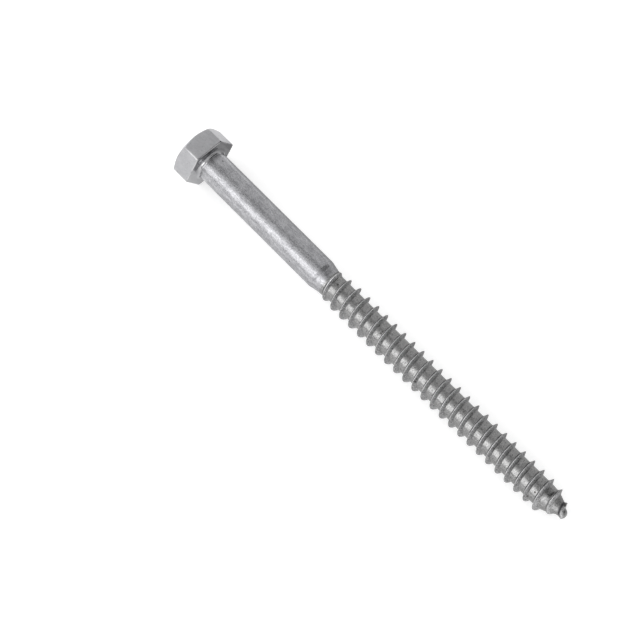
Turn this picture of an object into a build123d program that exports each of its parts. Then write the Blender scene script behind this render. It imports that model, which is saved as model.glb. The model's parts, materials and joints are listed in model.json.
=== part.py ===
from build123d import *
from math import atan, cos, degrees, floor, radians, sin, tan
import os

os.makedirs("parts", exist_ok=True)

# A 3/8 inch hex lag screw with a rolled wood thread, in millimetres.

# Hex head
across_flats = 14.4
head_height = 5.95
top_circle_diameter = 14.1
top_chamfer_angle = 30
underside_edge_radius = 0.3

# Shank, measured from the bearing face under the head
screw_length = 135.4
shank_diameter = 8.78
shank_length = 43.8
head_fillet_radius = 1.05
neck_length = 4.4
neck_blend_radius = 3.0

# Wood thread
thread_diameter = 9.45
root_diameter = 7.35
thread_pitch = 3.436
ridge_base_width = 1.4
thread_setback = 1.67
thread_start_angle = 180
run_in_turns = 3
run_in_height = 0.18
run_in_width = 0.5

# Gimlet point
point_length = 7.6
point_end_diameter = 2.4
point_cap_height = 0.9
point_ridge_height = 0.3
point_ridge_width = 0.7

# The ridge is bedded this far into the core, so that the two join all along.
ridge_bed = 0.05

shank_radius = shank_diameter / 2
root_radius = root_diameter / 2
ridge_height = (thread_diameter - root_diameter) / 2
point_end_radius = point_end_diameter / 2
point_cap_radius = (point_end_radius**2 + point_cap_height**2) / (2 * point_cap_height)
bed_radius = root_radius - ridge_bed

# Heights along the screw's own axis, from the bearing face towards the point
neck_end = shank_length + neck_length
thread_start = shank_length + thread_setback
full_thread_start = thread_start + run_in_turns * thread_pitch
point_start = screw_length - point_length
point_cap_start = screw_length - point_cap_height
point_cone_length = point_cap_start - point_start
point_angle = degrees(atan((root_radius - point_end_radius) / point_cone_length))

# The screw lies on one flat of its head and on the last full crest that faces down.
lowest_angle = 270
turns_to_point = (point_start - thread_start) / thread_pitch
turns_to_lowest = (lowest_angle - thread_start_angle) / 360
low_crest_turns = floor(turns_to_point - turns_to_lowest) + turns_to_lowest
low_crest_height = thread_start + low_crest_turns * thread_pitch
rest_span = low_crest_height + underside_edge_radius
rest_tilt = atan((across_flats - thread_diameter) / 2 / rest_span)
axis_height = across_flats / 2 * cos(rest_tilt) - underside_edge_radius * sin(rest_tilt)
bearing_offset = (head_height - screw_length) / 2 * cos(rest_tilt)

# Bearing plane: z runs along the screw to its point, x points sideways, y up.
bearing_plane = Plane(
    origin=(bearing_offset, 0, axis_height),
    x_dir=(0, 1, 0),
    z_dir=(cos(rest_tilt), 0, -sin(rest_tilt)),
)
# Axial plane: x is the distance from the axis, y the height along it.
axial_plane = Plane(
    origin=bearing_plane.origin,
    x_dir=bearing_plane.x_dir,
    z_dir=-bearing_plane.y_dir,
)
screw_axis = Axis(bearing_plane.origin, bearing_plane.z_dir)


def share_along(height, start, end):
    """How far a height lies from start to end, held between 0 and 1."""
    return min(max((height - start) / (end - start), 0), 1)


def ridge_size(height):
    """The ridge's height and base width where it has climbed to a height."""
    risen = share_along(height, thread_start, full_thread_start)
    fallen = share_along(height, point_start, point_cap_start)
    rise = run_in_height + (ridge_height - run_in_height) * risen
    width = run_in_width + (ridge_base_width - run_in_width) * risen
    rise -= (ridge_height - point_ridge_height) * fallen
    width -= (ridge_base_width - point_ridge_width) * fallen
    return rise, width


def ridge_section(path, position, height):
    """The ridge's profile across its path: two flanks that meet in a crest."""
    rise, base_width = ridge_size(height)
    point = path @ position
    along = (point - screw_axis.position).dot(screw_axis.direction)
    outward = point - screw_axis.position - screw_axis.direction * along
    with BuildSketch(Plane(point, x_dir=outward, z_dir=path % position)) as section:
        with BuildLine():
            Polyline(
                (0, -base_width / 2),
                (ridge_bed + rise, 0),
                (0, base_width / 2),
                close=True,
            )
        make_face()
    return section.sketch


def thread_stretches(start, end, taper):
    """Equal stretches of about one turn each: the path and the sections at its two ends."""
    count = max(1, round((end - start) / thread_pitch))
    length = (end - start) / count
    for index in range(count):
        low = start + index * length
        angle = thread_start_angle + 360 * (low - thread_start) / thread_pitch
        radius = bed_radius - (low - start) * tan(radians(taper))
        helix = Helix(thread_pitch, length, radius, cone_angle=-taper, mode=Mode.PRIVATE)
        path = bearing_plane * Pos(Z=low) * Rot(Z=angle) * helix
        yield path, [ridge_section(path, 0, low), ridge_section(path, 1, low + length)]


with BuildPart() as lag_screw:
    # Hex head, standing on the bearing plane
    with BuildSketch(bearing_plane):
        RegularPolygon(across_flats / 2, 6, major_radius=False)
    extrude(amount=-head_height)
    underside = lag_screw.faces().sort_by(screw_axis)[-1]
    fillet(underside.edges(), underside_edge_radius)

    # Cone that rounds off the six top corners
    top_radius = top_circle_diameter / 2
    chamfer_reach = across_flats - top_radius
    with BuildSketch(axial_plane):
        with BuildLine():
            Polyline(
                (top_radius, -head_height),
                (top_radius + chamfer_reach, -head_height),
                (
                    top_radius + chamfer_reach,
                    -head_height + chamfer_reach * tan(radians(top_chamfer_angle)),
                ),
                close=True,
            )
        make_face()
    revolve(axis=screw_axis, mode=Mode.SUBTRACT)

    # Shank, neck, thread core and point, turned about the axis
    with BuildSketch(axial_plane):
        with BuildLine():
            Line((0, screw_length), (0, -head_height / 2))
            FilletPolyline(
                (0, -head_height / 2),
                (shank_radius, -head_height / 2),
                (shank_radius, shank_length),
                (root_radius, neck_end),
                (root_radius, point_start),
                (point_end_radius, point_cap_start),
                radius=[0, neck_blend_radius, 0, 0],
            )
            RadiusArc((point_end_radius, point_cap_start), (0, screw_length), -point_cap_radius)
        make_face()
    revolve(axis=screw_axis)
    head_corner = lag_screw.edges().filter_by(GeomType.CIRCLE).sort_by_distance(
        bearing_plane.origin
    )[0]
    fillet(head_corner, head_fillet_radius)

    # Thread: a ridge that rises out of the neck, runs full and dies away on the point
    for path, sections in [
        *thread_stretches(thread_start, full_thread_start, taper=0),
        *thread_stretches(full_thread_start, point_start, taper=0),
        *thread_stretches(point_start, point_cap_start, point_angle),
    ]:
        sweep(sections=sections, path=path, multisection=True, is_frenet=True)

lag_screw.part.label = "lag_screw"
export_step(lag_screw.part, "parts/lag_screw.step")
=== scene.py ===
import json

import bmesh
import bpy
import numpy as np
from mathutils import Matrix, Vector


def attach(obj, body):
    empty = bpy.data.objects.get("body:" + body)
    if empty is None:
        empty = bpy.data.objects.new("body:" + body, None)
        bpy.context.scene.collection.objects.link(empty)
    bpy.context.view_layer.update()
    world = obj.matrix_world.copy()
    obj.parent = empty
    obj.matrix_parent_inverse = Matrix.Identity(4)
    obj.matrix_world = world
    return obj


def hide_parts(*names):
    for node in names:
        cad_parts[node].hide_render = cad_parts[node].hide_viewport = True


# The looks of a zinc-plated lag screw that lies on a pale floor. Unless a comment says otherwise,
# lengths are in millimetres and places along the screw run from the bearing face under its head
# towards its point. Angles go round the screw's axis, from the +Y side towards the top. What is
# placed in the scene is in the frame's metres.
MM = 0.001

# Head
across_flats = 14.4
head_height = 5.95
top_circle_radius = 7.05
top_chamfer_slope = np.tan(np.radians(30))
top_chamfer_sag = 0.05
head_edge_round = 0.16
corner_round = 0.07
corner_round_angle = 2.2
underside_edge_radius = 0.3

# Shank and neck
shank_radius = 4.375
head_fillet_radius = 1.05
shank_end = 43.4
neck_stations = [43.4, 43.9, 44.5, 45.0, 45.6, 46.1, 46.7, 47.3, 47.9, 49.0, 50.5]
neck_radii = [4.375, 4.34, 4.215, 4.09, 3.995, 3.90, 3.80, 3.75, 3.70, 3.58, 3.42]
neck_end = neck_stations[-1]

# Thread: a crest passes the phase's station on the +Y side
pitch = 3.436
thread_phase = 54.1
root_radius_at_neck = 3.42
root_radius_at_point = 3.52
ridge_half_base_at_neck = 0.59
ridge_half_base_at_point = 0.66
crest_half_width = 0.05
crest_blend = 0.06
root_blend = 0.07
ridge_start = 45.2
ridge_end = 134.2
ridge_fade = 0.5
run_in_stations = [45.2, 47.3, 48.3, 49.2, 50.8, 52.5, 54.0, 55.5]
run_in_radii = [3.2, 3.93, 4.17, 4.35, 4.45, 4.70, 4.72, 4.725]
run_out_stations = [60.0, 127.9, 129.7, 131.2, 133.1, 134.2]
run_out_radii = [4.725, 4.69, 4.3, 3.15, 2.5, 1.5]

# The root drops behind the first turn's crest, over these turns and this distance past the crest.
first_crest_start = 46.9
root_drop_turns = (-0.35, 0.25)
root_drop_past_crest = (0.1, 1.2)

# Point, and the rough rounded lump past the last of the ridge
point_start = 127.8
point_stations = [127.8, 129.3, 130.8, 132.7, 133.5, 134.0, 134.45]
point_radii = [3.52, 3.35, 2.85, 1.98, 1.58, 1.38, 1.3]
lump_start = 134.45
lump_bluntness = 0.8
screw_length = 135.39

# Slight lean of the threaded end
lean_angle = np.radians(17.6)
lean_stations = [55.0, 59.0, 92.0, 128.4, 131.2, 133.1, 134.2, 134.9]
lean_sizes = [0.0, 0.0, 0.03, 0.15, 0.38, 0.58, 0.25, 0.05]

# Mesh columns, in degrees: close together at the head's six corners, 6 degrees apart between them
corner_steps = [0, 0.8, 1.8]
steps_to_next_corner = (
    corner_steps + list(range(6, 60, 6)) + [60 - step for step in reversed(corner_steps[1:])]
)
columns = np.radians([60 * corner + step for corner in range(6) for step in steps_to_next_corner])
column_count = len(columns)

# Mesh rings of the head: the flat top's radii; below the top and past its circle; down and in from
# the edge of the chamfer, as shares of the edge's rounding; arcs in degrees
top_ring_radii = [0.0, 2.2, 4.6, 6.2, top_circle_radius - 0.12]
top_circle_rings = [(0.012, 0.0), (0.08, 0.14)]
chamfer_shares = [0.35, 0.7]
edge_round_rings = [(-0.5, 0.87), (0.15, 0.2), (1.0, 0.0)]
side_shares = [0.33, 0.67, 1.0]
underside_arc = [25, 50, 70, 90]
bearing_face_shares = [0.4, 0.8, 1.0]
fillet_arc = [15, 30, 45, 60, 75, 90]

# Mesh rings of the shank and the lump, and rows of the thread by their distance from the crest
shank_ring_count = 30
lump_arc = [10, 22, 34, 46, 58, 70, 80]
thread_rows = [0.0, 0.05, 0.1, 0.17, 0.28, 0.42, 0.56, 0.66, 0.74, 0.82, 0.94, 1.15, 1.45]

# Mesh cleaning, in metres
merge_distance = 2e-7
shortest_edge = 1e-7

# Painted zones. A fade is the two places between which a value goes from 0 to 1. A band is the fade
# in which a zone begins and the fade in which it ends. First those along the screw.
head_ends = (-0.1, 0.1)
smooth_head_ends = (0.9, 1.4)
under_head = ((-0.28, -0.2), (1.0, 1.4))
corner_highlight_begins = (-5.5, -5.2)
rim_highlight_begins = (-0.28, -0.1)
rim_glint_begins = (-0.2, -0.1)
fillet_glint_along = ((0.05, 0.25), (0.4, 0.75))
fillet_shade_along = ((0.5, 1.0), (1.2, 1.5))
thread_begins = (46.6, 47.6)
lap_along = ((47.8, 48.0), (49.3, 49.5))
dull_point_begins = (128.3, 130.3)
rough_point_begins = (129.5, 131.5)
last_turn_along = ((128.6, 129.2), (129.9, 131.2))
end_shade_along = ((131.7, 132.2), (133.9, 134.2))
point_glint_along = ((128.3, 129.0), (133.3, 133.8))
point_glint_weakens = (130.5, 132)

# Zones by their angle in degrees, round the axis or from the nearest corner of the head
corner_highlight_ends = (0.9, 2.2)
rim_glint_turn = ((60, 63), (98, 118))
fillet_glint_turn = ((66, 82), (150, 175))
fillet_shade_turn = ((45, 62), (104, 116))
lap_turn = ((85, 100), (140, 160))
lit_crest_turn = ((50, 75), (138, 158))
upper_turn = ((10, 30), (140, 165))
point_glint_turn = ((94, 108), (124, 142))

# Zones by their distance inside the head's outline
rim_highlight_ends = (0.14, 0.3)
rim_glint_inset = ((0.05, 0.1), (0.2, 0.29))

# Zones by their distance along the axis from a crest: signed from the nearest one, before it, past
# the last one, or either way
crest_line = ((-0.26, -0.18), (0.03, 0.08))
head_flank_before = ((0.24, 0.30), (0.62, 0.8))
end_shade_before = ((0.2, 0.4), (0.8, 1.1))
last_turn_before = ((0.1, 0.25), (0.5, 0.95))
tip_flank_past = ((0.02, 0.08), (0.5, 0.68))
lap_lines_past = [0.17, 0.56]
lap_line_ends = (0.02, 0.09)
flank_foot_distance = 0.64
flank_foot_ends = (0.04, 0.2)
point_glint_distance = (0.62, 0.85)

# Shares of what is painted
unlit_crest_share = 0.25
crest_loss_on_point = 0.75
head_flank_loss_on_point = 0.9
end_shade_share = 0.9
last_turn_shade_share = 0.15
lap_share = 0.8
fillet_shade_share = 0.4
fillet_glint_share = 0.2
point_glint_share = 0.4
point_glint_loss = 0.7
flank_foot_shade_share = 0.12
under_head_shade_share = 0.32
edge_highlight_share = 0.7
speck_share = 0.45
thread_speck_share = 0.55

# Where the cloud's value is above these, the head's edges get their painted highlight, which the
# cloud breaks up into patches.
edge_highlight_cloud = (0.42, 0.6)

# Colours, and ramps of colours: a texture's value and the colour there
shank_colours = [
    (0.42, (0.27, 0.27, 0.285)),
    (0.50, (0.40, 0.40, 0.415)),
    (0.58, (0.54, 0.54, 0.56)),
]
head_colours = [(0.40, (0.36, 0.36, 0.372)), (0.60, (0.47, 0.47, 0.485))]
# The thread's colour is darker than the shank's: partly its own tone, partly painted shade in the
# roots between the ridges
thread_tone_and_shade_colours = [
    (0.38, (0.20, 0.20, 0.20)),
    (0.50, (0.29, 0.289, 0.288)),
    (0.62, (0.39, 0.388, 0.387)),
]
tip_flank_colours = [(0.38, (0.14, 0.14, 0.143)), (0.62, (0.68, 0.68, 0.685))]
# Painted highlight along the crests
crest_highlight_colours = [(0.38, (0.46, 0.46, 0.465)), (0.62, (0.92, 0.92, 0.925))]
# Painted shade: the dark line on the head side of each crest
head_flank_shade_colour = (0.15, 0.15, 0.15)
# Painted shade in the crease at each flank's foot
flank_foot_shade_colour = (0.10, 0.10, 0.105)
# Painted shade on the bearing face and fillet under the head
under_head_shade_colour = (0.20, 0.20, 0.205)
# Painted highlight on the head's corner and rim edges
edge_highlight_colour = (0.68, 0.68, 0.68)
glint_colour = (0.92, 0.92, 0.925)
# Painted shade at the fillet and in the last turns, and the dark lap lines of the first turn
shade_and_lap_colour = (0.05, 0.05, 0.055)
speck_colour = (0.10, 0.10, 0.10)
thread_speck_colour = (0.06, 0.06, 0.06)
dirt_colour = (0.07, 0.067, 0.064)
paper_colours = [(0.3, (0.61, 0.61, 0.61)), (0.7, (0.63, 0.63, 0.63))]

# Shares of the second texture where two are mixed
streak_share = 0.35
cloud_share = 0.12
thread_texture_share = 0.25

# Roughness of the shank's grain, and of the zones painted over it, one after the other
grain_roughness = (0.24, 0.34)
zone_roughness = [
    ("threaded", 0.25),
    ("head_flank_shade", 0.45),
    ("tip_flank", 0.64),
    ("crest", 0.45),
    ("head", 0.42),
    ("under_head", 0.15),
    ("point", 0.50),
]

# Bump of the grain, with its height in metres
bump_strength = 0.8
bump_height = 0.00004

# Specks of dirt and pits: place along the screw, radius there, angle in degrees, size
dirt_marks = [
    (-1.33, 8.25, 56.5, 0.30),
    (-0.1, 8.25, 59.8, 0.26),
    (3.36, 4.38, 67.6, 0.22),
    (36.0, 4.38, 161.0, 0.16),
    (50.0, 3.45, 88.5, 0.30),
    (51.1, 3.45, 86.0, 0.25),
    (67.7, 3.45, 107.0, 0.22),
    (67.3, 3.45, 123.0, 0.15),
    (83.6, 4.3, 145.0, 0.55),
    (83.5, 4.2, 134.0, 0.45),
    (125.1, 3.5, 167.5, 0.28),
    (126.1, 3.5, 124.7, 0.32),
    (125.7, 3.5, 98.9, 0.14),
    (125.3, 3.5, 71.6, 0.14),
    (124.7, 3.5, 39.4, 0.14),
    (133.6, 2.4, 46.0, 0.45),
    (134.7, 1.5, 80.0, 0.26),
]

# A speck's full core as a share of its size, and the shares between which a dirt mark fades
speck_core = 0.5
mark_edge = (0.6, 1.2)

# Light levels: the world's, what the camera and the metal see added to the floor's paper, and how
# far a card's grey strays from its level
room_level = 0.76
paper_lift = 0.52
card_unevenness = 0.04


# ---------------------------------------------------------------- frame

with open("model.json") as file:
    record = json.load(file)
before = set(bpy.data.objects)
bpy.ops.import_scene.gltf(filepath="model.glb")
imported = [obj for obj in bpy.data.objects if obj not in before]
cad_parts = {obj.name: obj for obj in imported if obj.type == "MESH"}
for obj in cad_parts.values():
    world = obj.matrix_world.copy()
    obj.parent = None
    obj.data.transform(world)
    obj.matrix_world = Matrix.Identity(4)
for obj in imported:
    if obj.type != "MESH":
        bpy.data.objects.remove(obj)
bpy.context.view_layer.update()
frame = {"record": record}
mounts = {mount["name"]: mount for mount in frame["record"]["mounts"]}
axis = -Vector(mounts["head_top"]["axis"]).normalized()
bearing_point = Vector(mounts["head_top"]["pos_m"]) + axis * head_height * MM
side = Vector((0, 1, 0))
top = axis.cross(side)
if top.z < 0:
    top = -top


def place(along, radius, angle, lean=0.0):
    """Points of the frame, in metres, from the place along the screw, the radius and the angle."""
    sideways = radius * np.cos(angle) + lean * np.cos(lean_angle)
    upward = radius * np.sin(angle) + lean * np.sin(lean_angle)
    parts = np.stack(np.broadcast_arrays(along, sideways, upward), axis=-1) * MM
    return np.array(bearing_point) + parts @ np.array([axis, side, top])


# ---------------------------------------------------------------- form

def smooth_step(value, start, end):
    share = np.clip((value - start) / (end - start), 0, 1)
    return share * share * (3 - 2 * share)


def soft_positive(value, softness):
    """The value where it is above zero, and nearly zero below, without a hard corner."""
    return (value + np.sqrt(value * value + softness * softness)) / 2


def past_crest(along, angle):
    """Distance past the last crest, and the turns of ridge between the ridge's start and there."""
    past = (along - thread_phase - pitch * angle / (2 * np.pi)) % pitch
    return past, (along - past - first_crest_start) / pitch


def crest_offset(along, angle):
    """Distance from the nearest crest: below zero before it, above zero past it."""
    return (along - thread_phase - pitch * angle / (2 * np.pi) + pitch / 2) % pitch - pitch / 2


def along_thread(along, at_neck, at_point):
    """A value that changes evenly from the neck to the start of the point."""
    return np.interp(along, [neck_end, point_start], [at_neck, at_point])


def core_radius(along, angle=0.0):
    """Shank, neck, thread root and point without the ridge."""
    along = np.asarray(along, dtype=float)
    root = along_thread(along, root_radius_at_neck, root_radius_at_point)
    neck = np.interp(along, neck_stations, neck_radii)
    past, turns = past_crest(along, angle)
    drop = smooth_step(turns, *root_drop_turns) * smooth_step(past, *root_drop_past_crest)
    drop = np.maximum(drop, smooth_step(turns - 1, *root_drop_turns))
    body = neck + (np.minimum(root, neck) - neck) * drop
    body = np.where(along > neck_end, root, body)
    return np.where(along < point_start, body, np.interp(along, point_stations, point_radii))


def crest_radius(along):
    run_in = np.interp(along, run_in_stations, run_in_radii)
    run_out = np.interp(along, run_out_stations, run_out_radii)
    return np.minimum(run_in, run_out)


def surface_radius(along, angle):
    """The core with the ridge on it."""
    core = core_radius(along, angle)
    rise = np.maximum(crest_radius(along) - core, 0)
    away = np.abs(crest_offset(along, angle))
    half_base = along_thread(along, ridge_half_base_at_neck, ridge_half_base_at_point)
    flank = (half_base - away) / (half_base - crest_half_width)
    height = soft_positive(1 - soft_positive(1 - flank, crest_blend), root_blend)
    started = smooth_step(along, ridge_start, ridge_start + ridge_fade)
    ended = 1 - smooth_step(along, ridge_end - ridge_fade, ridge_end)
    return core + rise * height * started * ended


def head_outline(angle):
    """Degrees from the nearest corner of the head, and the radius of its sharp hexagon there."""
    from_corner = np.degrees(angle) % 60
    from_corner = np.minimum(from_corner, 60 - from_corner)
    return from_corner, across_flats / 2 / np.cos(np.radians(30 - from_corner))


def head_rows():
    """Rings from the middle of the head's top, over its edges, to the fillet at the shank."""
    from_corner, hexagon = head_outline(columns)
    hexagon -= corner_round * np.clip(1 - from_corner / corner_round_angle, 0, 1) ** 2

    # Top and chamfer
    chamfer_reach = hexagon - top_circle_radius
    chamfer_drop = chamfer_reach * top_chamfer_slope
    rows = [(-head_height, radius) for radius in top_ring_radii]
    for below, past in top_circle_rings:
        rows.append((-head_height + below, top_circle_radius + past))
    for share in chamfer_shares:
        rows.append((
            -head_height + chamfer_drop * share + top_chamfer_sag * (1 - share),
            top_circle_radius + chamfer_reach * share,
        ))

    # Side faces between their rounded edges
    top_edge = chamfer_drop - head_height
    for down, inward in edge_round_rings:
        rows.append((top_edge + head_edge_round * down, hexagon - head_edge_round * inward))
    side_start = top_edge + head_edge_round
    side_end = -underside_edge_radius
    for share in side_shares:
        rows.append((side_start + (side_end - side_start) * share, hexagon))
    for turn in np.radians(underside_arc):
        rows.append((
            side_end + underside_edge_radius * np.sin(turn),
            hexagon - underside_edge_radius * (1 - np.cos(turn)),
        ))

    # Bearing face and fillet
    face_edge = hexagon - underside_edge_radius
    fillet_edge = shank_radius + head_fillet_radius
    for share in bearing_face_shares:
        rows.append((0.0, face_edge + (fillet_edge - face_edge) * share))
    for turn in np.radians(fillet_arc):
        rows.append((
            head_fillet_radius * (1 - np.cos(turn)),
            fillet_edge - head_fillet_radius * np.sin(turn),
        ))
    return rows


def shank_rows():
    stations = np.linspace(head_fillet_radius, shank_end, shank_ring_count + 1)[1:]
    return [(station, core_radius(station)) for station in stations]


def lump_rows():
    """Rings from the end of the ridge's last row to the very end of the screw."""
    start_radius = core_radius(lump_start)
    rows = [(lump_start, surface_radius(lump_start, columns))]
    for turn in np.radians(lump_arc):
        rows.append((
            lump_start + (screw_length - lump_start) * np.sin(turn),
            start_radius * np.cos(turn) ** lump_bluntness,
        ))
    return rows + [(screw_length, 0.0)]


def add_rings(rows, vertices, faces):
    """Rings whose place and radius each are a number or an array over the columns."""
    along = np.array([np.broadcast_to(row[0], column_count) for row in rows])
    radius = np.array([np.broadcast_to(row[1], column_count) for row in rows])
    lean = np.interp(along, lean_stations, lean_sizes)
    first = len(vertices)
    points = place(along, radius, columns[None, :], lean)
    vertices.extend(map(tuple, points.reshape(-1, 3)))
    for row in range(len(rows) - 1):
        start = first + row * column_count
        for column in range(column_count):
            following = (column + 1) % column_count
            faces.append((
                start + column,
                start + following,
                start + column_count + following,
                start + column_count + column,
            ))


def add_thread(vertices, faces):
    """Rows that follow the ridge: each turn's last row is next to the following turn's first."""
    before_crest = [-distance for distance in reversed(thread_rows[1:])]
    offsets = np.array(before_crest + thread_rows + [pitch / 2])
    row_count = len(offsets)
    first_turn = int(np.floor((shank_end - thread_phase) / pitch)) - 1
    last_turn = int(np.ceil((lump_start - thread_phase) / pitch)) + 1
    turns = np.arange(first_turn, last_turn + 1)
    along = (
        thread_phase
        + pitch * turns[:, None, None]
        + pitch * columns[None, :, None] / (2 * np.pi)
        + offsets[None, None, :]
    )
    along = np.clip(along, shank_end, lump_start)
    angle = np.broadcast_to(columns[None, :, None], along.shape)
    lean = np.interp(along, lean_stations, lean_sizes)
    first = len(vertices)
    points = place(along, surface_radius(along, angle), angle, lean)
    vertices.extend(map(tuple, points.reshape(-1, 3)))

    def index(turn, column, row):
        """A vertex's index. Past the last column or row it runs on into the next turn."""
        turn += column // column_count + row // row_count
        return first + (turn * column_count + column % column_count) * row_count + row % row_count

    for turn in range(len(turns) - 2):
        for column in range(column_count):
            for row in range(row_count):
                faces.append((
                    index(turn, column, row),
                    index(turn, column + 1, row),
                    index(turn, column + 1, row + 1),
                    index(turn, column, row + 1),
                ))


def build_screw():
    vertices = []
    faces = []
    add_rings(head_rows() + shank_rows(), vertices, faces)
    add_rings(lump_rows(), vertices, faces)
    add_thread(vertices, faces)

    mesh = bpy.data.meshes.new("screw_surface")
    mesh.from_pydata(vertices, [], faces)
    work = bmesh.new()
    work.from_mesh(mesh)
    bmesh.ops.remove_doubles(work, verts=work.verts, dist=merge_distance)
    bmesh.ops.dissolve_degenerate(work, edges=work.edges, dist=shortest_edge)
    loose = [vertex for vertex in work.verts if not vertex.link_faces]
    bmesh.ops.delete(work, geom=loose, context="VERTS")
    bmesh.ops.recalc_face_normals(work, faces=work.faces)
    work.to_mesh(mesh)
    work.free()
    set_area_normals(mesh)
    add_surface_values(mesh)
    screw = bpy.data.objects.new("screw_surface", mesh)
    bpy.context.scene.collection.objects.link(screw)
    return screw


def set_area_normals(mesh):
    """Smooth shading in which large flat faces keep their own direction."""
    mesh.shade_smooth()
    face_count = len(mesh.polygons)
    areas = np.zeros(face_count)
    mesh.polygons.foreach_get("area", areas)
    directions = np.zeros(face_count * 3)
    mesh.polygons.foreach_get("normal", directions)
    directions = directions.reshape(-1, 3) * areas[:, None]
    corner_counts = np.zeros(face_count, dtype=int)
    mesh.polygons.foreach_get("loop_total", corner_counts)
    corner_vertices = np.zeros(len(mesh.loops), dtype=int)
    mesh.loops.foreach_get("vertex_index", corner_vertices)
    normals = np.zeros((len(mesh.vertices), 3))
    np.add.at(normals, corner_vertices, np.repeat(directions, corner_counts, axis=0))
    lengths = np.linalg.norm(normals, axis=1, keepdims=True)
    normals /= np.maximum(lengths, np.finfo(float).tiny)
    mesh.normals_split_custom_set_from_vertices(normals.tolist())


# ---------------------------------------------------------------- painted zones

def band(value, begins, ends):
    """1 inside a band and 0 outside it."""
    return smooth_step(value, *begins) * (1 - smooth_step(value, *ends))


def strongest(*values):
    return np.maximum.reduce(values)


def head_zones(along, angle, radius):
    """What is painted on the head and its fillet."""
    from_corner, hexagon = head_outline(angle)
    inset = hexagon - radius
    turn = np.degrees(angle)
    on_head = 1 - smooth_step(along, *head_ends)
    # Painted highlight on the head's corners, and on the rounded edge between the flats and the
    # bearing face
    corner_highlight = smooth_step(along, *corner_highlight_begins)
    corner_highlight *= 1 - smooth_step(from_corner, *corner_highlight_ends)
    rim_highlight = smooth_step(along, *rim_highlight_begins) * (1 - smooth_step(inset, *rim_highlight_ends))
    # A thin painted highlight along part of the head's lower rim, on its upper side
    rim_glint = smooth_step(along, *rim_glint_begins)
    rim_glint *= band(inset, *rim_glint_inset) * band(turn, *rim_glint_turn)
    fillet_glint = band(along, *fillet_glint_along) * band(turn, *fillet_glint_turn)
    fillet_shade = band(along, *fillet_shade_along) * band(turn, *fillet_shade_turn)
    return {
        "head": on_head,
        "smooth_head": 1 - smooth_step(along, *smooth_head_ends),
        "under_head": band(along, *under_head),
        "head_edge_highlight": on_head * strongest(corner_highlight, rim_highlight),
        "glint": strongest(on_head * rim_glint, fillet_glint_share * fillet_glint),
        "shade_and_lap": fillet_shade_share * fillet_shade,
    }


def thread_zones(along, angle):
    """What is painted on the thread and the point."""
    turn = np.degrees(angle)
    offset = crest_offset(along, angle)
    past = past_crest(along, angle)[0]
    threaded = smooth_step(along, *thread_begins)
    dull_point = smooth_step(along, *dull_point_begins)

    # Flanks and crest: painted shade on the head-side flank, and a painted highlight along the
    # crest, strongest on the upper side where the light falls
    lit_crest = unlit_crest_share + (1 - unlit_crest_share) * band(turn, *lit_crest_turn)
    crest = lit_crest * (1 - crest_loss_on_point * dull_point) * band(offset, *crest_line)
    head_flank_shade = (1 - head_flank_loss_on_point * dull_point) * band(-offset, *head_flank_before)
    # Each flank's foot, where the crease gets painted shade
    from_foot = np.abs(np.abs(offset) - flank_foot_distance)

    # Dark lines at the first turn's lap, and painted shade in the last turns, on their upper side
    # only
    lap = strongest(*(
        1 - smooth_step(np.abs(past - line), *lap_line_ends) for line in lap_lines_past
    ))
    lap *= band(along, *lap_along) * band(turn, *lap_turn)
    end_shade = band(along, *end_shade_along) * band(-offset, *end_shade_before)
    last_turn = band(along, *last_turn_along) * band(-offset, *last_turn_before)
    end_shades = strongest(end_shade_share * end_shade, last_turn_shade_share * last_turn)

    # Soft highlight in the point's roots
    point_glint = band(along, *point_glint_along) * band(turn, *point_glint_turn)
    point_glint *= smooth_step(np.abs(offset), *point_glint_distance)
    point_glint *= 1 - point_glint_loss * smooth_step(along, *point_glint_weakens)
    return {
        "threaded": threaded,
        "crest": threaded * crest,
        "tip_flank": threaded * band(past, *tip_flank_past),
        "head_flank_shade": threaded * head_flank_shade,
        "flank_foot_shade": threaded * (1 - smooth_step(from_foot, *flank_foot_ends)),
        "point": smooth_step(along, *rough_point_begins),
        "glint": point_glint_share * point_glint,
        "shade_and_lap": strongest(band(turn, *upper_turn) * end_shades, lap_share * lap),
    }


def add_surface_values(mesh):
    """Values from 0 to 1 that the material reads, one for each painted zone."""
    points = np.zeros(len(mesh.vertices) * 3)
    mesh.vertices.foreach_get("co", points)
    from_bearing = (points.reshape(-1, 3) - np.array(bearing_point)) / MM
    along, sideways, upward = (from_bearing @ np.array(way) for way in (axis, side, top))
    angle = np.arctan2(upward, sideways)
    on_head = head_zones(along, angle, np.hypot(sideways, upward))
    on_thread = thread_zones(along, angle)
    shared = {name: strongest(on_head[name], on_thread[name]) for name in ("glint", "shade_and_lap")}
    for name, value in {**on_head, **on_thread, **shared}.items():
        layer = mesh.attributes.new(name, "FLOAT", "POINT")
        layer.data.foreach_set("value", np.ascontiguousarray(value, dtype=np.float32))


# ---------------------------------------------------------------- materials

def new_material(name):
    material = bpy.data.materials.new(name)
    material.use_nodes = True
    nodes = material.node_tree.nodes
    nodes.clear()
    output = nodes.new("ShaderNodeOutputMaterial")
    shader = nodes.new("ShaderNodeBsdfPrincipled")
    material.node_tree.links.new(shader.outputs["BSDF"], output.inputs["Surface"])
    return material, shader


def texture_place(material, stretch=(1, 1, 1)):
    """The object's own metres, stretched along the axes."""
    nodes = material.node_tree.nodes
    place_node = nodes.new("ShaderNodeTexCoord")
    mapping = nodes.new("ShaderNodeMapping")
    mapping.inputs["Scale"].default_value = stretch
    material.node_tree.links.new(place_node.outputs["Object"], mapping.inputs["Vector"])
    return mapping.outputs["Vector"]


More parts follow.
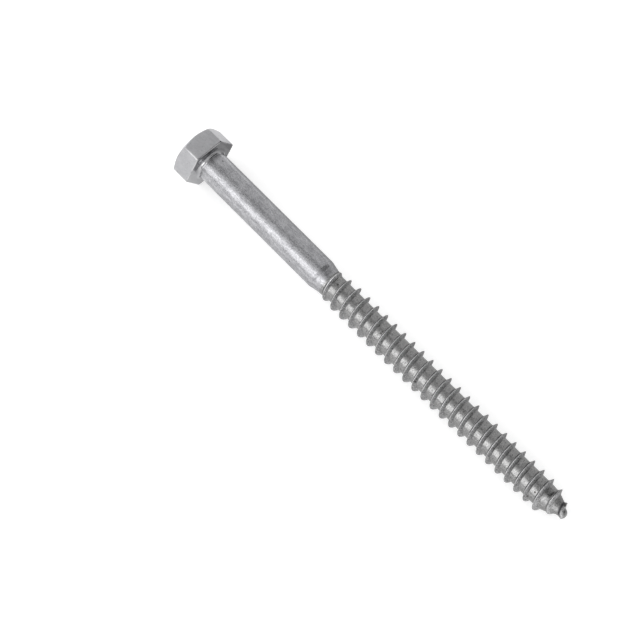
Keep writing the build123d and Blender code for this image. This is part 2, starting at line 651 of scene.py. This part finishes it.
def noise(material, scale, detail, stretch=(1, 1, 1), roughness=0.5):
    """Noise over the object's own metres; returns its value socket."""
    texture = material.node_tree.nodes.new("ShaderNodeTexNoise")
    texture.inputs["Scale"].default_value = scale
    texture.inputs["Detail"].default_value = detail
    texture.inputs["Roughness"].default_value = roughness
    material.node_tree.links.new(texture_place(material, stretch), texture.inputs["Vector"])
    return texture.outputs["Fac"]


def specks(material, scale, size):
    """Scattered small spots: 1 in a spot, 0 around it."""
    nodes = material.node_tree.nodes
    cells = nodes.new("ShaderNodeTexVoronoi")
    cells.inputs["Scale"].default_value = scale
    material.node_tree.links.new(texture_place(material), cells.inputs["Vector"])
    return map_range(material, cells.outputs["Distance"], 1, 0, size * speck_core, size)


def mark(material, along, radius, round_angle, size):
    """One spot at a place on the screw, in millimetres and degrees: 1 in it, 0 around it."""
    nodes = material.node_tree.nodes
    distance = nodes.new("ShaderNodeVectorMath")
    distance.operation = "DISTANCE"
    material.node_tree.links.new(texture_place(material), distance.inputs[0])
    distance.inputs[1].default_value = place(along, radius, np.radians(round_angle))
    start, end = (size * share * MM for share in mark_edge)
    return map_range(material, distance.outputs["Value"], 1, 0, start, end)


def combine(material, operation, first, second):
    node = material.node_tree.nodes.new("ShaderNodeMath")
    node.operation = operation
    for socket, value in zip(node.inputs, (first, second)):
        if hasattr(value, "type"):
            material.node_tree.links.new(value, socket)
        else:
            socket.default_value = value
    return node.outputs["Value"]


def times(material, first, second):
    return combine(material, "MULTIPLY", first, second)


def mixture(material, main, other, other_share):
    """Two textures added in shares that make up 1."""
    main_part = times(material, main, 1 - other_share)
    return combine(material, "ADD", main_part, times(material, other, other_share))


def ramp(material, value, stops):
    node = material.node_tree.nodes.new("ShaderNodeValToRGB")
    material.node_tree.links.new(value, node.inputs["Fac"])
    elements = node.color_ramp.elements
    while len(elements) < len(stops):
        elements.new(0.5)
    for element, (position, colour) in zip(elements, stops):
        element.position = position
        element.color = (*colour, 1)
    return node.outputs["Color"]


def map_range(material, value, low, high, start=0.3, end=0.7):
    node = material.node_tree.nodes.new("ShaderNodeMapRange")
    node.inputs["From Min"].default_value = start
    node.inputs["From Max"].default_value = end
    node.inputs["To Min"].default_value = low
    node.inputs["To Max"].default_value = high
    material.node_tree.links.new(value, node.inputs["Value"])
    return node.outputs["Result"]


def surface_value(material, name):
    node = material.node_tree.nodes.new("ShaderNodeAttribute")
    node.attribute_name = name
    return node.outputs["Fac"]


def blend(material, share, first, second):
    """The first value or colour where the share is 0, the second where it is 1."""
    node = material.node_tree.nodes.new("ShaderNodeMix")
    links = material.node_tree.links
    is_colour = hasattr(first, "type") and first.type == "RGBA"
    node.data_type = "RGBA" if is_colour else "FLOAT"
    sockets = [socket for socket in node.inputs if socket.enabled]
    factor, low, high = sockets[0], sockets[1], sockets[2]
    links.new(share, factor)
    for socket, value in ((low, first), (high, second)):
        if hasattr(value, "type"):
            links.new(value, socket)
        elif is_colour:
            socket.default_value = (*value, 1)
        else:
            socket.default_value = value
    return next(socket for socket in node.outputs if socket.enabled)


def plated_colour(material, texture, thread_texture, cloud):
    """The plate's colour: that of the shank, with the zones and the specks painted over it."""
    def zone(name, share=None):
        value = surface_value(material, name)
        return value if share is None else times(material, value, share)

    edge_highlight = map_range(material, cloud, 0, edge_highlight_share, *edge_highlight_cloud)
    spots = times(material, specks(material, scale=900, size=0.16), speck_share)
    thread_spots = times(material, specks(material, scale=1300, size=0.3), thread_speck_share)
    layers = [
        # Darker thread: its own tone and painted shade in the roots
        (zone("threaded"), ramp(material, thread_texture, thread_tone_and_shade_colours)),
        (zone("tip_flank"), ramp(material, thread_texture, tip_flank_colours)),
        # Painted shade on the head-side flanks
        (zone("head_flank_shade"), head_flank_shade_colour),
        # Painted shade at the flanks' feet
        (zone("flank_foot_shade", flank_foot_shade_share), flank_foot_shade_colour),
        # Painted highlight along the crests
        (zone("crest"), ramp(material, thread_texture, crest_highlight_colours)),
        (zone("smooth_head"), ramp(material, texture, head_colours)),
        # Painted shade on the bearing face and fillet under the head
        (zone("under_head", under_head_shade_share), under_head_shade_colour),
        # Painted highlight on the head's edges, broken up by the cloud
        (zone("head_edge_highlight", edge_highlight), edge_highlight_colour),
        (zone("glint"), glint_colour),
        # Painted shade at the fillet and in the last turns, and the dark lap lines of the first
        # turn
        (zone("shade_and_lap"), shade_and_lap_colour),
        (spots, speck_colour),
        (zone("threaded", thread_spots), thread_speck_colour),
    ]
    layers += [(mark(material, *dirt_mark), dirt_colour) for dirt_mark in dirt_marks]
    colour = ramp(material, texture, shank_colours)
    for share, layer_colour in layers:
        colour = blend(material, share, colour, layer_colour)
    return colour


def plated_steel():
    """Bright zinc plate: satin and grainy on head and shank, glossier on the thread, and darker
    there, partly its own tone and partly painted shade in the roots between the ridges.
    """
    material, shader = new_material("plated_steel")
    nodes = material.node_tree.nodes
    links = material.node_tree.links
    speckle = noise(material, scale=2400, detail=8, roughness=0.85)
    streaks = noise(material, scale=2400, detail=4, stretch=(0.22, 1, 1), roughness=0.7)
    cloud = noise(material, scale=330, detail=2)
    fine = noise(material, scale=3300, detail=3, roughness=0.7)
    texture = mixture(material, speckle, streaks, streak_share)
    texture = mixture(material, texture, cloud, cloud_share)
    thread_texture = mixture(material, fine, texture, thread_texture_share)
    colour = plated_colour(material, texture, thread_texture, cloud)
    links.new(colour, shader.inputs["Base Color"])

    grain = noise(material, scale=2600, detail=3)
    rough = map_range(material, grain, *grain_roughness)
    for name, roughness in zone_roughness:
        rough = blend(material, surface_value(material, name), rough, roughness)
    links.new(rough, shader.inputs["Roughness"])
    shader.inputs["Metallic"].default_value = 1.0

    bump = nodes.new("ShaderNodeBump")
    bump.inputs["Strength"].default_value = bump_strength
    bump.inputs["Distance"].default_value = bump_height
    links.new(texture, bump.inputs["Height"])
    links.new(bump.outputs["Normal"], shader.inputs["Normal"])
    return material


def floor_paper():
    """White paper: what the camera and the metal see is lifted to white, and its shadow stays."""
    material, shader = new_material("floor_paper")
    links = material.node_tree.links
    fibre = ramp(material, noise(material, scale=900, detail=4), paper_colours)
    links.new(fibre, shader.inputs["Base Color"])
    shader.inputs["Roughness"].default_value = 0.9
    shader.inputs["Specular IOR Level"].default_value = 0.1
    path = material.node_tree.nodes.new("ShaderNodeLightPath")
    seen = path.outputs["Is Camera Ray"]
    for kind in ("Is Glossy Ray", "Is Transmission Ray"):
        seen = combine(material, "MAXIMUM", seen, path.outputs[kind])
    shader.inputs["Emission Color"].default_value = (1, 1, 1, 1)
    links.new(times(material, seen, paper_lift), shader.inputs["Emission Strength"])
    return material


def card_grey(name, level):
    """Dull grey, a little uneven."""
    material, shader = new_material(name)
    darker = level * (1 - card_unevenness)
    lighter = level * (1 + card_unevenness)
    shades = [(0.3, (darker,) * 3), (0.7, (lighter,) * 3)]
    colour = ramp(material, noise(material, scale=8, detail=2), shades)
    material.node_tree.links.new(colour, shader.inputs["Base Color"])
    shader.inputs["Roughness"].default_value = 1.0
    shader.inputs["Specular IOR Level"].default_value = 0.0
    return material


# ---------------------------------------------------------------- stage, in metres

def flat_piece(name, width, height):
    """A rectangle round its own origin, facing +Z."""
    x, y = width / 2, height / 2
    mesh = bpy.data.meshes.new(name)
    mesh.from_pydata([(-x, -y, 0), (x, -y, 0), (x, y, 0), (-x, y, 0)], [], [(0, 1, 2, 3)])
    piece = bpy.data.objects.new(name, mesh)
    bpy.context.scene.collection.objects.link(piece)
    return piece


def build_floor():
    floor = flat_piece("floor", width=12, height=12)
    floor.data.materials.append(floor_paper())


def above(turn, along, distance):
    """A point at an angle round the screw's axis, in degrees, and at a distance from it."""
    turn = np.radians(turn)
    return axis * along + (side * np.cos(turn) + top * np.sin(turn)) * distance


def facing(location, target, along):
    """A placement that looks at the target with its own x along a given direction."""
    back = (location - target).normalized()
    up = back.cross(along).normalized()
    right = up.cross(back).normalized()
    return Matrix.Translation(location) @ Matrix((right, up, back)).transposed().to_4x4()


def face_up(x, y, z):
    return Matrix.Translation(Vector((x, y, z)))


def add_softbox(name, location, target, width, height, radiance):
    light = bpy.data.lights.new(name, "AREA")
    light.shape = "RECTANGLE"
    light.size = width
    light.size_y = height
    light.energy = radiance * np.pi * width * height
    lamp = bpy.data.objects.new(name, light)
    lamp.matrix_world = facing(location, target, axis)
    lamp.visible_camera = False
    bpy.context.scene.collection.objects.link(lamp)


def add_card(name, placement, width, height, level):
    """A grey card that only the metal's reflections see."""
    card = flat_piece(name, width, height)
    card.matrix_world = placement
    card.data.materials.append(card_grey(name, level))
    card.visible_camera = False
    card.visible_diffuse = False
    card.visible_shadow = False


def set_world(level):
    world = bpy.data.worlds.new("room")
    world.use_nodes = True
    background = world.node_tree.nodes["Background"]
    background.inputs["Color"].default_value = (level, level, level, 1)
    background.inputs["Strength"].default_value = 1.0
    bpy.context.scene.world = world


def add_camera():
    """A long lens, high on the tip's side, that turns the screw corner to corner in the frame."""
    azimuth, elevation, roll = np.radians([47.9455, 64.3139, -0.2918])
    distance = 0.899583
    aim_right = 0.029150
    aim_down = 0.041456
    right = Vector((np.cos(azimuth), np.sin(azimuth), 0))
    back = Vector((
        np.sin(azimuth) * np.cos(elevation),
        -np.cos(azimuth) * np.cos(elevation),
        np.sin(elevation),
    ))
    up = back.cross(right)
    rolled_right = right * np.cos(roll) + up * np.sin(roll)
    rolled_up = up * np.cos(roll) - right * np.sin(roll)
    aim = bearing_point + rolled_right * aim_right - rolled_up * aim_down
    data = bpy.data.cameras.new("camera")
    data.sensor_width = 36
    data.lens = 190.9667
    camera = bpy.data.objects.new("camera", data)
    camera.matrix_world = (
        Matrix.Translation(aim + back * distance)
        @ Matrix((rolled_right, rolled_up, back)).transposed().to_4x4()
    )
    bpy.context.scene.collection.objects.link(camera)
    bpy.context.scene.camera = camera


# ---------------------------------------------------------------- scene

screw = build_screw()
screw.data.materials.append(plated_steel())
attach(screw, "root")
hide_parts("lag_screw")

build_floor()

# Lamps over the thread and the shank, which make the bright band along the screw, and one beyond
# its head. The front lamp, beyond its point, comes last.
middle = Vector((0, 0, 0))
add_softbox(
    "key_over_thread",
    above(turn=143, along=-0.14, distance=0.954),
    target=axis * -0.14,
    width=0.40,
    height=0.90,
    radiance=1.75,
)
add_softbox(
    "key_over_shank",
    above(turn=145, along=-0.53, distance=0.954),
    target=axis * -0.53,
    width=0.38,
    height=0.60,
    radiance=1.08,
)
add_softbox(
    "fill",
    above(turn=105, along=-0.85, distance=0.53),
    target=middle,
    width=0.5,
    height=0.9,
    radiance=3.5,
)

# Standing cards, which the upper side of the screw mirrors
over_shank = facing(above(turn=88, along=-0.62, distance=0.954), axis * -0.62, axis)
add_card("card_over_shank", over_shank, width=0.55, height=0.44, level=0.36)
over_thread = facing(above(turn=79, along=-0.22, distance=0.954), axis * -0.22, axis)
add_card("card_over_thread", over_thread, width=0.25, height=0.36, level=0.52)
ahead = facing(above(turn=55, along=0.28, distance=0.954), axis * 0.28, axis)
add_card("card_ahead", ahead, width=0.60, height=1.50, level=0.12)
beyond_point = facing(above(turn=38, along=0.80, distance=0.54), middle, side)
add_card("card_beyond_point", beyond_point, width=0.50, height=0.36, level=0.12)

# Cards just over the floor, which the steep sides of the screw mirror
add_card("card_beside", face_up(0.19, 0.2085, 0.0004), width=0.52, height=0.4, level=0.66)
# A grey strip right beside the screw for its shadow on the floor: a painted shadow that only
# reflections see
add_card("shadow_card_near_right", face_up(0.003, 0.0085, 0.0006), width=0.134, height=0.007, level=0.75)
add_card("card_near_shank", face_up(-0.044, 0.0205, 0.0008), width=0.048, height=0.024, level=0.50)
add_card("card_near_left", face_up(0.005, -0.0135, 0.0004), width=0.13, height=0.019, level=0.88)

add_softbox(
    "front",
    above(turn=152, along=0.70, distance=0.64),
    target=middle,
    width=0.45,
    height=0.45,
    radiance=2.6,
)
set_world(room_level)
add_camera()

scene = bpy.context.scene
scene.view_settings.view_transform = "Standard"
